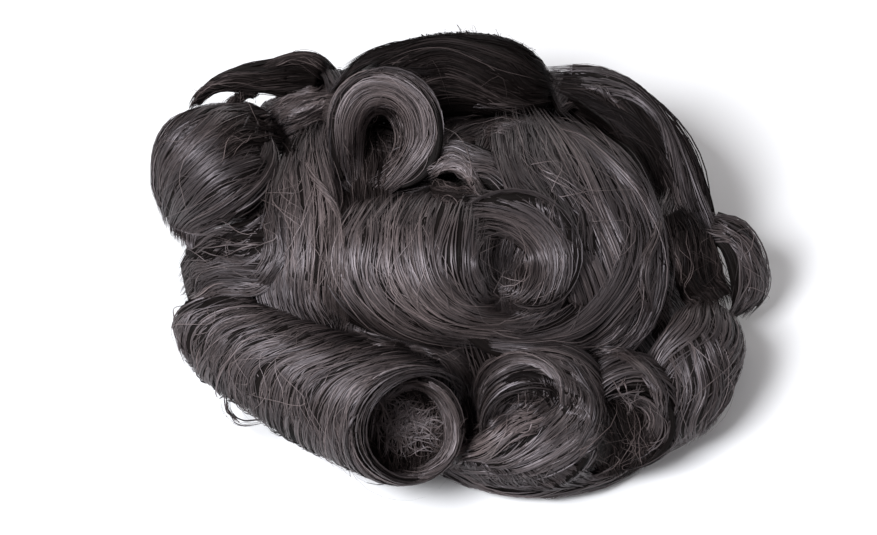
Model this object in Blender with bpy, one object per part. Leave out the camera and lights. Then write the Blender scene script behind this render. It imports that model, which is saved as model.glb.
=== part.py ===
"""Toupee: a thin domed base, a bed of short hair over it, and rolled curls and flat locks on the bed.

Metres, +Z up. The origin is the middle of the base's rim, on the surface that the rim rests on.
The front hairline is on the -Y side, and the piece is widest along X.
"""

import math

import bmesh
import bpy
import numpy as np

# The base, measured 9 inches along its dome and 7 inches across
BASE_HALF_LENGTH = 0.089
BASE_HALF_WIDTH = 0.061
BASE_HEIGHT = 0.052
BASE_WALL = 0.0015

# The bed of short hair on the base, combed into shallow waves
BED_THICKNESS = 0.009
BED_WAVE_DEPTH = 0.0022
BED_WAVES = 11
BED_WAVE_TWIST = 4

# How far the curls reach past the base, to the sides, to the front and back, and upwards
SIDE_SPREAD = 0.031
FRONT_SPREAD = 0.049
LOFT = 0.033

# The curls and locks
CURL_RADIUS = 0.020
CURL_WALL = 0.005
LOCK_HALF_WIDTH = 0.015
LOCK_THICKNESS = 0.006
EDGE_SHARE = 0.35
TIP_SHARE = 0.45

# The gap between pieces, how far a cut reaches past them, and the height of the lowest hair over the surface
CLEARANCE = 0.0004
CUT_GAP = 0.0006
FLOOR_GAP = 0.0006

# How sharply a lock turns where it meets the bed, and how softly where it meets the surface
LIFT_SHARPNESS = 24
FLOOR_SOFTNESS = 0.001

# Mesh steps, along the hair and across it for the locks
DOME_STEPS_ROUND = 32
DOME_STEPS_UP = 6
ROLL_STEPS = (18, 5)
WHORL_STEPS = (26, 3)
LOCK_STEPS = (12, 4)
HEADING_STEP = 0.02
SHARP_ANGLE = math.radians(50)
TINY = 1e-9

# Colours and finish
NET_COLOUR = (0.05, 0.04, 0.035)
BED_COLOUR = (0.03, 0.026, 0.024)
HAIR_COLOUR = (0.045, 0.038, 0.036)
HAIR_ROUGHNESS = 0.45

BASE = np.array([BASE_HALF_LENGTH, BASE_HALF_WIDTH, BASE_HEIGHT])
BED = BASE + BED_THICKNESS
ENVELOPE = BASE + np.array([SIDE_SPREAD, FRONT_SPREAD, LOFT])

# A rolled curl: one row for each section along its axis. x, y and z place the section's centre, as shares of
# ENVELOPE. radius is a share of CURL_RADIUS. The hair starts at start degrees, where 0 is up and 90 is on the
# side of the axis crossed with up, turns by sweep degrees, and ends at inner times its radius.
ROLL_COLUMNS = ("x", "y", "z", "radius", "start", "sweep", "inner")
ROLLS = {
    "front_left_roll": (
        (-0.85, -0.28, 0.21, 0.84, -60, 330, 0.84),
        (-0.72, -0.39, 0.24, 1, -60, 340, 0.84),
        (-0.56, -0.50, 0.26, 1.12, -60, 345, 0.84),
        (-0.41, -0.61, 0.28, 1.2, -60, 350, 0.84),
        (-0.27, -0.70, 0.32, 1.28, -60, 360, 0.82),
        (-0.17, -0.79, 0.39, 1.28, -60, 375, 0.8),
        (-0.13, -0.85, 0.48, 1.22, -60, 390, 0.78),
    ),
    "front_centre_curl": (
        (0.26, -0.58, 0.24, 1.45, 125, 290, 0.78),
        (0.23, -0.72, 0.34, 1.58, 125, 320, 0.72),
        (0.21, -0.83, 0.42, 1.45, 125, 350, 0.64),
    ),
    "front_right_curl": (
        (0.50, -0.59, 0.21, 1.1, 170, 270, 0.8),
        (0.51, -0.69, 0.28, 1.15, 170, 290, 0.75),
        (0.51, -0.77, 0.34, 1.05, 170, 320, 0.7),
    ),
    "centre_roll": (
        (-0.37, -0.24, 0.56, 1.1, -70, 200, 0.9),
        (-0.25, -0.27, 0.59, 1.3, -70, 205, 0.9),
        (-0.13, -0.30, 0.61, 1.42, -70, 210, 0.9),
        (-0.01, -0.32, 0.64, 1.46, -70, 210, 0.9),
        (0.11, -0.33, 0.66, 1.4, -70, 210, 0.9),
    ),
    "left_side_roll": (
        (-0.62, 0.43, 0.49, 0.7, -60, 220, 0.9),
        (-0.69, 0.33, 0.51, 1.22, -60, 230, 0.9),
        (-0.75, 0.21, 0.49, 1.45, -60, 240, 0.85),
        (-0.81, 0.10, 0.42, 1.25, -60, 260, 0.75),
        (-0.85, 0.00, 0.35, 0.75, -60, 280, 0.7),
    ),
    "back_roll": (
        (0.27, 0.51, 0.49, 0.85, -80, 250, 0.85),
        (0.12, 0.53, 0.54, 1.1, -95, 260, 0.8),
        (-0.06, 0.51, 0.55, 1.2, -80, 260, 0.8),
        (-0.24, 0.49, 0.54, 1.05, -95, 260, 0.8),
        (-0.37, 0.48, 0.51, 0.8, -80, 260, 0.8),
    ),
    "right_front_roll": (
        (0.59, -0.74, 0.14, 0.55, -60, 220, 0.9),
        (0.67, -0.62, 0.22, 0.8, -60, 220, 0.9),
        (0.74, -0.47, 0.27, 0.92, -60, 220, 0.9),
        (0.79, -0.30, 0.29, 0.75, -60, 220, 0.9),
    ),
    "back_left_roll": (
        (-0.07, 0.65, 0.20, 0.75, -45, 215, 0.85),
        (-0.33, 0.62, 0.24, 0.9, -45, 215, 0.85),
        (-0.58, 0.47, 0.24, 0.9, -45, 215, 0.85),
        (-0.77, 0.27, 0.20, 0.7, -45, 215, 0.85),
    ),
    "back_right_roll": (
        (0.72, 0.24, 0.20, 0.6, -35, 205, 0.85),
        (0.57, 0.45, 0.22, 0.85, -45, 215, 0.85),
        (0.33, 0.60, 0.24, 0.9, -45, 215, 0.85),
        (0.07, 0.66, 0.20, 0.75, -45, 215, 0.85),
    ),
}

# A whorl curls in a plane: its centre as shares of ENVELOPE, the way it faces, and one row for each section
# along its hair. turn is in degrees, where 0 is up and 90 is to the left of someone whom the whorl faces.
# radius and rise, which is how far the hair stands out of the plane, are shares of CURL_RADIUS. half_width
# and thickness are shares of LOCK_HALF_WIDTH and LOCK_THICKNESS. At lean 0 the hair lies flat in the plane.
WHORL_COLUMNS = ("turn", "radius", "half_width", "thickness", "lean", "rise")
WHORLS = {
    "centre_swirl": ((0.19, -0.32, 0.68), (0.12, -0.55, 0.82), (
        (262, 1.42, 0.35, 0.8, 20, -0.12),
        (175, 1.3, 0.62, 1.1, 20, 0.03),
        (80, 1.12, 0.6, 1.1, 20, 0.12),
        (-30, 0.88, 0.5, 1.1, 20, 0.25),
        (-140, 0.6, 0.42, 1, 20, 0.35),
        (-260, 0.34, 0.25, 0.8, 20, 0.42),
    )),
    "crown_ring_curl": ((-0.23, 0.13, 0.82), (0, -0.5, 0.86), (
        (150, 1.02, 0.25, 0.7, 50, -0.45),
        (90, 0.74, 0.42, 1, 45, -0.15),
        (0, 0.9, 0.48, 1.1, 45, 0.15),
        (-90, 0.78, 0.56, 1.1, 45, 0.05),
        (-150, 0.88, 0.48, 1, 45, -0.2),
        (-185, 0.92, 0.25, 0.6, 45, -0.3),
    )),
}

# A flat lock: one row for each section along its hair, in the same shares. At lean 0 it lies flat on the
# dome, and at 90 degrees it stands on edge.
LOCK_COLUMNS = ("x", "y", "z", "half_width", "thickness", "lean")
LOCKS = {
    "right_inner_lock": (
        (0.65, 0.05, 0.54, 0.3, 0.6, -20),
        (0.61, -0.16, 0.58, 0.35, 0.9, -10),
        (0.59, -0.31, 0.49, 0.4, 0.9, 0),
        (0.64, -0.40, 0.26, 0.3, 0.6, 0),
    ),
    "centre_right_wave": (
        (0.26, 0.32, 0.62, 1.3, 0.8, 0),
        (0.33, 0.09, 0.73, 1.8, 1.2, 0),
        (0.41, -0.12, 0.71, 1.8, 1.3, 0),
        (0.46, -0.29, 0.62, 1.5, 1.3, 0),
        (0.46, -0.42, 0.49, 1.1, 1, 0),
        (0.37, -0.49, 0.41, 0.6, 0.6, 0),
    ),
    "right_ribbon_lock": (
        (0.32, 0.50, 0.64, 0.3, 0.6, -40),
        (0.44, 0.46, 0.64, 0.62, 0.9, -40),
        (0.56, 0.36, 0.61, 0.72, 1, -40),
        (0.65, 0.20, 0.56, 0.8, 1, -35),
        (0.71, 0.04, 0.49, 0.8, 1, -30),
        (0.76, -0.08, 0.39, 0.65, 0.8, -20),
    ),
    "right_side_lock": (
        (0.79, -0.01, 0.45, 0.4, 0.6, -20),
        (0.87, -0.06, 0.41, 0.52, 0.8, -20),
        (0.91, -0.15, 0.33, 0.55, 0.9, -20),
        (0.91, -0.21, 0.21, 0.55, 0.9, -10),
        (0.86, -0.24, 0.11, 0.4, 0.6, 0),
    ),
    "left_back_lock": (
        (-0.45, 0.58, 0.52, 0.7, 1, -50),
        (-0.57, 0.58, 0.54, 0.65, 1, -50),
        (-0.70, 0.58, 0.53, 0.5, 0.8, -50),
        (-0.80, 0.56, 0.49, 0.3, 0.6, -50),
        (-0.87, 0.52, 0.42, 0.08, 0.4, -50),
    ),
    "left_band_lock": (
        (-0.35, 0.54, 0.45, 0.6, 0.8, 0),
        (-0.45, 0.52, 0.44, 0.75, 0.9, 0),
        (-0.54, 0.49, 0.42, 0.7, 0.9, 0),
        (-0.60, 0.43, 0.37, 0.4, 0.7, 0),
    ),
    "left_centre_lock": (
        (-0.45, 0.32, 0.54, 0.7, 0.9, 0),
        (-0.48, 0.00, 0.67, 0.9, 1, 0),
        (-0.49, -0.21, 0.61, 1, 1, 0),
        (-0.47, -0.36, 0.50, 0.9, 0.9, 0),
        (-0.42, -0.45, 0.40, 0.7, 0.7, 0),
    ),
    "left_front_lock": (
        (-0.54, -0.14, 0.58, 0.7, 0.8, 0),
        (-0.66, -0.18, 0.49, 0.95, 1, 0),
        (-0.78, -0.19, 0.40, 0.9, 1, 0),
        (-0.87, -0.19, 0.26, 0.6, 0.7, 0),
    ),
    "right_under_lock": (
        (0.65, -0.05, 0.59, 0.5, 0.8, 0),
        (0.70, -0.13, 0.53, 0.7, 0.9, 0),
        (0.74, -0.20, 0.44, 0.7, 0.9, 0),
        (0.77, -0.24, 0.31, 0.5, 0.7, 0),
    ),
    "crown_arch_lock": (
        (0.15, -0.05, 0.74, 0.3, 0.8, 0),
        (0.07, 0.03, 0.79, 0.45, 1, 0),
        (-0.02, 0.06, 0.79, 0.45, 1, 0),
        (-0.10, 0.02, 0.76, 0.25, 0.6, 0),
    ),
    "front_under_lock": (
        (-0.06, -0.82, 0.08, 0.3, 0.6, 0),
        (0.10, -0.88, 0.08, 0.4, 0.9, 0),
        (0.27, -0.90, 0.08, 0.4, 1, 0),
        (0.43, -0.87, 0.08, 0.4, 0.9, 0),
        (0.58, -0.79, 0.08, 0.3, 0.6, 0),
    ),
}


def named_columns(rows, columns):
    """The rows as one array for each named column."""
    return dict(zip(columns, np.array(rows, float).T))


def along(values, t):
    """A smooth curve through the values, read at t from 0 to 1."""
    spans = len(values) - 1
    i = min(int(t * spans), spans - 1)
    f = t * spans - i
    before = values[i - 1] if i > 0 else 2 * values[0] - values[1]
    after = values[i + 2] if i + 2 <= spans else 2 * values[-1] - values[-2]
    a, b = values[i], values[i + 1]
    bend = (2 * before - 5 * a + 4 * b - after) * f ** 2
    twist = (3 * a - before - 3 * b + after) * f ** 3
    return 0.5 * (2 * a + (b - before) * f + bend + twist)


def unit(v):
    return v / max(np.linalg.norm(v), TINY)


def place(columns, t):
    """The point on a table's centre line at t."""
    return np.array([along(columns[c], t) for c in "xyz"]) * ENVELOPE


def heading(columns, t):
    """The direction of a table's centre line at t."""
    return unit(place(columns, min(t + HEADING_STEP, 1)) - place(columns, max(t - HEADING_STEP, 0)))


def upright(axis):
    """The direction square to an axis that is nearest to up."""
    return unit(np.array((0, 0, 1.0)) - axis[2] * axis)


def lifted(point, margin):
    """The point moved out of the bed and off the surface below, so that it stays margin clear of both."""
    reach = np.linalg.norm(point / (BED + margin))
    point = point * (1 + reach ** -LIFT_SHARPNESS) ** (1 / LIFT_SHARPNESS)
    lowest = FLOOR_GAP + margin
    over = point[2] - lowest
    point[2] = lowest + 0.5 * (over + math.hypot(over, 2 * FLOOR_SOFTNESS))
    return point


def roll_point(columns, u, v):
    """The middle of a roll's wall, u along the hair and v along the axis, with the wall's half thickness."""
    axis = heading(columns, v)
    up = upright(axis)
    side = np.cross(axis, up)
    angle = math.radians(along(columns["start"], v) + along(columns["sweep"], v) * u)
    shrink = 1 - (1 - along(columns["inner"], v)) * u
    half = CURL_WALL / 2
    radius = CURL_RADIUS * along(columns["radius"], v) * shrink - half
    point = place(columns, v) + radius * (math.cos(angle) * up + math.sin(angle) * side)
    return lifted(point, half + CLEARANCE), half


def whorl_point(whorl, u, v):
    """The middle of a whorl's hair, u along the hair and v across it, with its half thickness."""
    centre, aim, columns = whorl
    up = upright(aim)
    side = np.cross(aim, up)
    turn, lean = (math.radians(along(columns[c], u)) for c in ("turn", "lean"))
    out = math.cos(turn) * up + math.sin(turn) * side
    across = math.cos(lean) * out + math.sin(lean) * aim
    half_width = LOCK_HALF_WIDTH * along(columns["half_width"], u)
    half = LOCK_THICKNESS * along(columns["thickness"], u) / 2
    middle = centre + CURL_RADIUS * (along(columns["radius"], u) * out + along(columns["rise"], u) * aim)
    return lifted(middle + across * half_width * (2 * v - 1), half + CLEARANCE), half


def lock_point(columns, u, v):
    """The middle of a flat lock, u along the hair and v across it, with its half thickness."""
    centre = place(columns, u)
    ahead = heading(columns, u)
    across = unit(np.cross(ahead, unit(centre / BED ** 2)))
    out = np.cross(across, ahead)
    lean = math.radians(along(columns["lean"], u))
    across = math.cos(lean) * across + math.sin(lean) * out
    half_width = LOCK_HALF_WIDTH * along(columns["half_width"], u)
    half = LOCK_THICKNESS * along(columns["thickness"], u) / 2
    return lifted(centre + across * half_width * (2 * v - 1), half + CLEARANCE), half


def wall_share(u, v):
    """How thick the hair is at u, v, as a share: thinner towards its tip and its two edges."""
    edge = 1 - (1 - EDGE_SHARE) * abs(2 * v - 1) ** 3
    tip = 1 - (1 - TIP_SHARE) * max(0.0, 2 * u - 1) ** 2
    return edge * tip


def hair_pieces():
    """Each curl and lock, the topmost first, with its surface, the surface's table and its mesh steps."""
    pieces = []
    for name, (centre, aim, rows) in WHORLS.items():
        whorl = (np.array(centre) * ENVELOPE, unit(np.array(aim)), named_columns(rows, WHORL_COLUMNS))
        pieces.append((name, whorl_point, whorl, WHORL_STEPS))
    for name, rows in ROLLS.items():
        pieces.append((name, roll_point, named_columns(rows, ROLL_COLUMNS), ROLL_STEPS))
    for name, rows in LOCKS.items():
        pieces.append((name, lock_point, named_columns(rows, LOCK_COLUMNS), LOCK_STEPS))
    return pieces


def mesh_from(bm, name):
    """The bmesh as a mesh with its faces pointing out."""
    bmesh.ops.recalc_face_normals(bm, faces=bm.faces)
    mesh = bpy.data.meshes.new(name)
    bm.to_mesh(mesh)
    bm.free()
    return mesh


def add_object(name, mesh, colour):
    """The mesh as a named object with its own material."""
    obj = bpy.data.objects.new(name, mesh)
    bpy.context.scene.collection.objects.link(obj)
    material = bpy.data.materials.new(name)
    material.use_nodes = True
    shader = material.node_tree.nodes["Principled BSDF"]
    shader.inputs["Base Color"].default_value = (*colour, 1)
    shader.inputs["Roughness"].default_value = HAIR_ROUGHNESS
    shader.inputs["Metallic"].default_value = 0.0
    mesh.materials.append(material)
    return obj


def slab_mesh(name, surface, table, steps, swell=0.0):
    """A closed wall round the surface, bigger by swell on every side where it is to be a cutter."""
    long_steps, cross_steps = steps
    us = np.linspace(0, 1, long_steps + 1)
    vs = np.linspace(0, 1, cross_steps + 1)
    sections = [[surface(table, u, v) for v in vs] for u in us]
    middle = np.array([[point for point, _ in row] for row in sections])
    half = np.array([[h * wall_share(u, v) for v, (_, h) in zip(vs, row)] for u, row in zip(us, sections)])
    normal = np.cross(np.gradient(middle, axis=0), np.gradient(middle, axis=1))
    normal /= np.maximum(np.linalg.norm(normal, axis=2, keepdims=True), TINY)
    bm = bmesh.new()
    top = [[bm.verts.new(p) for p in row] for row in middle + normal * half[..., None]]
    low = [[bm.verts.new(p) for p in row] for row in middle - normal * half[..., None]]
    for i in range(long_steps):
        for j in range(cross_steps):
            bm.faces.new((top[i][j], top[i + 1][j], top[i + 1][j + 1], top[i][j + 1]))
            bm.faces.new((low[i][j], low[i][j + 1], low[i + 1][j + 1], low[i + 1][j]))
    for j in (0, cross_steps):
        for i in range(long_steps):
            bm.faces.new((top[i][j], low[i][j], low[i + 1][j], top[i + 1][j]))
    for i in (0, long_steps):
        for j in range(cross_steps):
            bm.faces.new((top[i][j], top[i][j + 1], low[i][j + 1], low[i][j]))
    bmesh.ops.recalc_face_normals(bm, faces=bm.faces)
    for vert, step in [(v, v.normal * swell) for v in bm.verts]:
        vert.co += step
    return mesh_from(bm, name)


def dome_point(axes, turn, rise):
    """A point on the upper half of an ellipsoid."""
    return np.array((
        axes[0] * math.cos(turn) * math.cos(rise),
        axes[1] * math.sin(turn) * math.cos(rise),
        axes[2] * math.sin(rise),
    ))


def dome_shell(bm, axes, foot, wave_depth):
    """One skin of a dome, combed into waves as deep as wave_depth. Returns its lowest ring of corners."""
    low = math.asin(foot / axes[2])
    rings = []
    for i in range(DOME_STEPS_UP):
        rise = low + (math.pi / 2 - low) * i / DOME_STEPS_UP
        ring = []
        for k in range(DOME_STEPS_ROUND):
            turn = 2 * math.pi * k / DOME_STEPS_ROUND
            wave = 0.5 - 0.5 * math.cos(BED_WAVES * turn + BED_WAVE_TWIST * rise)
            shrink = 1 - wave_depth * wave * math.cos(rise) / axes[1]
            ring.append(bm.verts.new(dome_point(axes, turn, rise) * (shrink, shrink, 1)))
        rings.append(ring)
    for ring, above in zip(rings, rings[1:]):
        bridge(bm, ring, above)
    top = bm.verts.new((0, 0, axes[2]))
    for k in range(DOME_STEPS_ROUND):
        bm.faces.new((rings[-1][k], rings[-1][(k + 1) % DOME_STEPS_ROUND], top))
    return rings[0]


def bridge(bm, ring, other):
    """Faces between two rings with as many corners."""
    for k in range(len(ring)):
        n = (k + 1) % len(ring)
        bm.faces.new((ring[k], ring[n], other[n], other[k]))


def dome_mesh(name, inner, outer, foot, wave_depth=0.0):
    """A closed domed wall between two ellipsoids, with a flat rim at height foot."""
    bm = bmesh.new()
    bridge(bm, dome_shell(bm, inner, foot, 0.0), dome_shell(bm, outer, foot, wave_depth))
    return mesh_from(bm, name)


def box_of(mesh):
    points = np.array([v.co for v in mesh.vertices])
    return points.min(0), points.max(0)


def meet(a, b):
    """Whether two meshes' boxes meet."""
    (low_a, high_a), (low_b, high_b) = box_of(a), box_of(b)
    return bool(((low_a < high_b) & (low_b < high_a)).all())


def keep_largest_part(mesh):
    """Deletes the loose scraps that a cut can leave of a tip."""
    bm = bmesh.new()
    bm.from_mesh(mesh)
    left, parts = set(bm.verts), []
    while left:
        found, edge = set(), [left.pop()]
        while edge:
            vert = edge.pop()
            found.add(vert)
            near = {e.other_vert(vert) for e in vert.link_edges} & left
            edge += near
            left -= near
        parts.append(found)
    parts.sort(key=len)
    bmesh.ops.delete(bm, geom=[v for part in parts[:-1] for v in part], context="VERTS")
    bm.to_mesh(mesh)
    bm.free()


def trim(obj, cutters):
    """Cuts the object back from the pieces that lie over it."""
    for cutter in cutters:
        cut = obj.modifiers.new("trim_" + cutter.name, "BOOLEAN")
        cut.operation = "DIFFERENCE"
        cut.solver = "EXACT"
        cut.object = cutter
    graph = bpy.context.evaluated_depsgraph_get()
    mesh = bpy.data.meshes.new_from_object(obj.evaluated_get(graph))
    obj.modifiers.clear()
    keep_largest_part(mesh)
    obj.data = mesh


def add_cutter(name, surface, table, steps):
    """A copy of a piece, grown by the gap, that cuts back the pieces under it."""
    cutter = bpy.data.objects.new("cutter_" + name, slab_mesh(name, surface, table, steps, CUT_GAP))
    bpy.context.scene.collection.objects.link(cutter)
    cutter.hide_render = True
    cutter.display_type = "WIRE"
    return cutter


def build_base():
    add_object("base_cap", dome_mesh("base_cap", BASE - BASE_WALL, BASE, 0.0), NET_COLOUR)


def build_bed():
    mesh = dome_mesh("hair_bed", BASE + CLEARANCE, BED, FLOOR_GAP, BED_WAVE_DEPTH)
    add_object("hair_bed", mesh, BED_COLOUR)


def build_hair():
    """Each curl and lock, cut back from those laid before it."""
    laid = []
    for name, surface, table, steps in hair_pieces():
        obj = add_object(name, slab_mesh(name, surface, table, steps), HAIR_COLOUR)
        trim(obj, [cutter for cutter in laid if meet(cutter.data, obj.data)])
        laid.append(add_cutter(name, surface, table, steps))


def shade():
    for obj in bpy.context.scene.objects:
        obj.data.shade_smooth()
        obj.data.set_sharp_from_angle(angle=SHARP_ANGLE)


def main():
    for obj in list(bpy.data.objects):
        bpy.data.objects.remove(obj)
    build_base()
    build_bed()
    build_hair()
    shade()


main()
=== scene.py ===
"""The looks of the toupee: combed strands on every curl and lock, a net base, studio light and the camera.

Metres, +Z up. The origin is the middle of the base's rim, and the front hairline is on the -Y side.
"""

import math

import bpy
import numpy as np
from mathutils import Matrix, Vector
from mathutils.bvhtree import BVHTree


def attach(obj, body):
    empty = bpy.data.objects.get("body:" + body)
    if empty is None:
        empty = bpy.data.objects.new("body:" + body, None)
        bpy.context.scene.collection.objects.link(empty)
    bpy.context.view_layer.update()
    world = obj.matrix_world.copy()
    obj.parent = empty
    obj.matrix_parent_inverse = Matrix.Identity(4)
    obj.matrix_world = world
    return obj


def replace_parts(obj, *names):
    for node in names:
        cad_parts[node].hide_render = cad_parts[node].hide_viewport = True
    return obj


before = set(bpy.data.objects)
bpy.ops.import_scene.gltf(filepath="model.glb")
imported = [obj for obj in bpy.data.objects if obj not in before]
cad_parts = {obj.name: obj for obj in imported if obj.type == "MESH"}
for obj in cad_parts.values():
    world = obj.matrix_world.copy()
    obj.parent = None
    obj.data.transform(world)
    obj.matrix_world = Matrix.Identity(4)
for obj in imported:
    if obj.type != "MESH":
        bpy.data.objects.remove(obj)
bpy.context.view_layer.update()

# The photograph's frame in pixels, where the origin lies in it, and how many metres a pixel spans there
PHOTO_WIDTH, PHOTO_HEIGHT = 877, 535
ORIGIN_PIXEL = (458, 277.7)
METRES_PER_PIXEL = 0.000393
MILLIMETRES_PER_METRE = 1000
CAMERA_DISTANCE = 0.9
CAMERA_ELEVATION = math.radians(55)
SENSOR_WIDTH = 36
VIEW_BACK = np.array([0, -math.cos(CAMERA_ELEVATION), math.sin(CAMERA_ELEVATION)])
VIEW_UP = np.array([0, math.sin(CAMERA_ELEVATION), math.cos(CAMERA_ELEVATION)])
VIEW_RIGHT = np.array([1.0, 0, 0])
CAMERA_PLACE = CAMERA_DISTANCE * VIEW_BACK

# The sizes that the solids were made from, with how far the hair coiled in a roll's mouth draws in
BASE = np.array([0.089, 0.061, 0.052])
BED = BASE + 0.009
ENVELOPE = BASE + np.array([0.031, 0.049, 0.033])
CURL_RADIUS = 0.020
CURL_WALL = 0.005
LOCK_HALF_WIDTH = 0.015
LOCK_THICKNESS = 0.006
EDGE_SHARE = 0.35
TIP_SHARE = 0.45
CLEARANCE = 0.0004
FLOOR_GAP = 0.0006
LIFT_SHARPNESS = 24
FLOOR_SOFTNESS = 0.001
BED_WAVE_DEPTH = 0.0022
BED_WAVES = 11
BED_WAVE_TWIST = 4
HEADING_STEP = 0.02
END_REACH = 0.22
MOUTH_DRAW = 0.1
TINY = 1e-9

# How finely a sheet of hair is read, along its hair and across it. Its core has fewer steps, takes a share of
# the wall's thickness and of the clumps' depth, and closes towards its tip.
SHEET_STEPS = (160, 48)
CORE_STEPS = (44, 12)
CORE_SHARE = 0.72
CORE_LIFT = 0.8
CORE_TIP = 12
CORE_LEAST = 0.1

# Strands: the pitch at which they lie side by side, their width, how much hair lies on top of other hair, the
# clumps and wisps that they lie in, and the share of their width at root and tip with how fast it grows there
STRAND_PITCH = 0.00040
STRAND_WIDTH = 0.00040
LAYERS = 2.0
STRAND_TILT = math.radians(25)
CLUMP_WIDTH = 0.0052
CLUMP_DEPTH = 0.0011
WISP_WIDTH = 0.0017
WISP_DEPTH = 0.0004
FEWEST_STRANDS = 8
WIDTH_SPREAD = (0.6, 1.25)
STRAY_WIDTH = 0.5
INNER_LEVEL = (0.8, 1)
ROOT_TAPER = (0.1, 6)
TIP_TAPER = (0.08, 4.5)

# Where strands start and end along their sheet, how they wander across it, and how proud of it they stand
ROOT_SPREAD = 0.03
LATEST_ROOT = 0.5
SHORT_SHARE = 0.18
LONGEST_TRIM = 0.5
SHEET_MARGIN = 0.02
WANDER = 0.0011
WANDER_TURNS = (0.6, 1.9)
STRAY_WANDER = 5
DRIFT = 1.6
PROUD = 0.00022
STRAY_PROUD = 0.0011

# Waves that neighbouring strands share: the width and the turns of each, and how far it moves them
SWAYS = ((0.045, 0.9), (0.02, 1.6), (0.009, 2.4))
SWAY_SHARE = 0.07

# How light strands are, from 0 to 1: the mean, the part that neighbours share, and each strand's own part
MEAN_TONE = 0.42
SHARED_TONE = 0.08
TONE_WIDTHS = (0.0009, 0.0024, 0.0061)
OWN_TONE = 0.09
STRAY_TONES = (0.6, 1)
LIGHTEST = 0.99

# The map has a column for each shade of strand in its right half, with HAIRS fine hairs across it, and the
# core's two skins in its left half
SHADES = 64
SHADE_EDGES = (0.04, 0.96)
HAIRS = 3
CORE_MAP = 0.24
CORE_MAP_STEP = 0.25
CORE_MAP_WIDTH = 0.12

# Combed hair: the steps of its sheets along and across, how many times they are smoothed at the end, its half
# thickness, and how deep its edges sink
COMB_STEPS = (40, 18)
COMB_SMOOTHING = 5
COMB_HALF = 0.0007
COMB_SINK = 0.0012

# The solids' tables, where left_side_roll and left_back_lock are slimmer at the back, as their hair is there
ROLL_COLUMNS = ("x", "y", "z", "radius", "start", "sweep", "inner")
ROLLS = {
    "front_left_roll": (
        (-0.85, -0.28, 0.21, 0.84, -60, 330, 0.84),
        (-0.72, -0.39, 0.24, 1, -60, 340, 0.84),
        (-0.56, -0.50, 0.26, 1.12, -60, 345, 0.84),
        (-0.41, -0.61, 0.28, 1.2, -60, 350, 0.84),
        (-0.27, -0.70, 0.32, 1.28, -60, 360, 0.82),
        (-0.17, -0.79, 0.39, 1.28, -60, 375, 0.8),
        (-0.13, -0.85, 0.48, 1.22, -60, 390, 0.78),
    ),
    "front_centre_curl": (
        (0.26, -0.58, 0.24, 1.45, 125, 290, 0.78),
        (0.23, -0.72, 0.34, 1.58, 125, 320, 0.72),
        (0.21, -0.83, 0.42, 1.45, 125, 350, 0.64),
    ),
    "front_right_curl": (
        (0.50, -0.59, 0.21, 1.1, 170, 270, 0.8),
        (0.51, -0.69, 0.28, 1.15, 170, 290, 0.75),
        (0.51, -0.77, 0.34, 1.05, 170, 320, 0.7),
    ),
    "centre_roll": (
        (-0.37, -0.24, 0.56, 1.1, -70, 200, 0.9),
        (-0.25, -0.27, 0.59, 1.3, -70, 205, 0.9),
        (-0.13, -0.30, 0.61, 1.42, -70, 210, 0.9),
        (-0.01, -0.32, 0.64, 1.46, -70, 210, 0.9),
        (0.11, -0.33, 0.66, 1.4, -70, 210, 0.9),
    ),
    "left_side_roll": (
        (-0.62, 0.43, 0.47, 0.5, -60, 220, 0.9),
        (-0.69, 0.33, 0.49, 0.84, -60, 230, 0.9),
        (-0.75, 0.21, 0.49, 1.45, -60, 240, 0.85),
        (-0.81, 0.10, 0.42, 1.25, -60, 260, 0.75),
        (-0.85, 0.00, 0.35, 0.75, -60, 280, 0.7),
    ),
    "back_roll": (
        (0.27, 0.51, 0.49, 0.85, -80, 250, 0.85),
        (0.12, 0.53, 0.54, 1.1, -95, 260, 0.8),
        (-0.06, 0.51, 0.55, 1.2, -80, 260, 0.8),
        (-0.24, 0.49, 0.54, 1.05, -95, 260, 0.8),
        (-0.37, 0.48, 0.51, 0.8, -80, 260, 0.8),
    ),
    "right_front_roll": (
        (0.59, -0.74, 0.14, 0.55, -60, 220, 0.9),
        (0.67, -0.62, 0.22, 0.8, -60, 220, 0.9),
        (0.74, -0.47, 0.27, 0.92, -60, 220, 0.9),
        (0.79, -0.30, 0.29, 0.75, -60, 220, 0.9),
    ),
    "back_left_roll": (
        (-0.07, 0.65, 0.20, 0.75, -45, 215, 0.85),
        (-0.33, 0.62, 0.24, 0.9, -45, 215, 0.85),
        (-0.58, 0.47, 0.24, 0.9, -45, 215, 0.85),
        (-0.77, 0.27, 0.20, 0.7, -45, 215, 0.85),
    ),
    "back_right_roll": (
        (0.72, 0.24, 0.20, 0.6, -35, 205, 0.85),
        (0.57, 0.45, 0.22, 0.85, -45, 215, 0.85),
        (0.33, 0.60, 0.24, 0.9, -45, 215, 0.85),
        (0.07, 0.66, 0.20, 0.75, -45, 215, 0.85),
    ),
}

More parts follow.
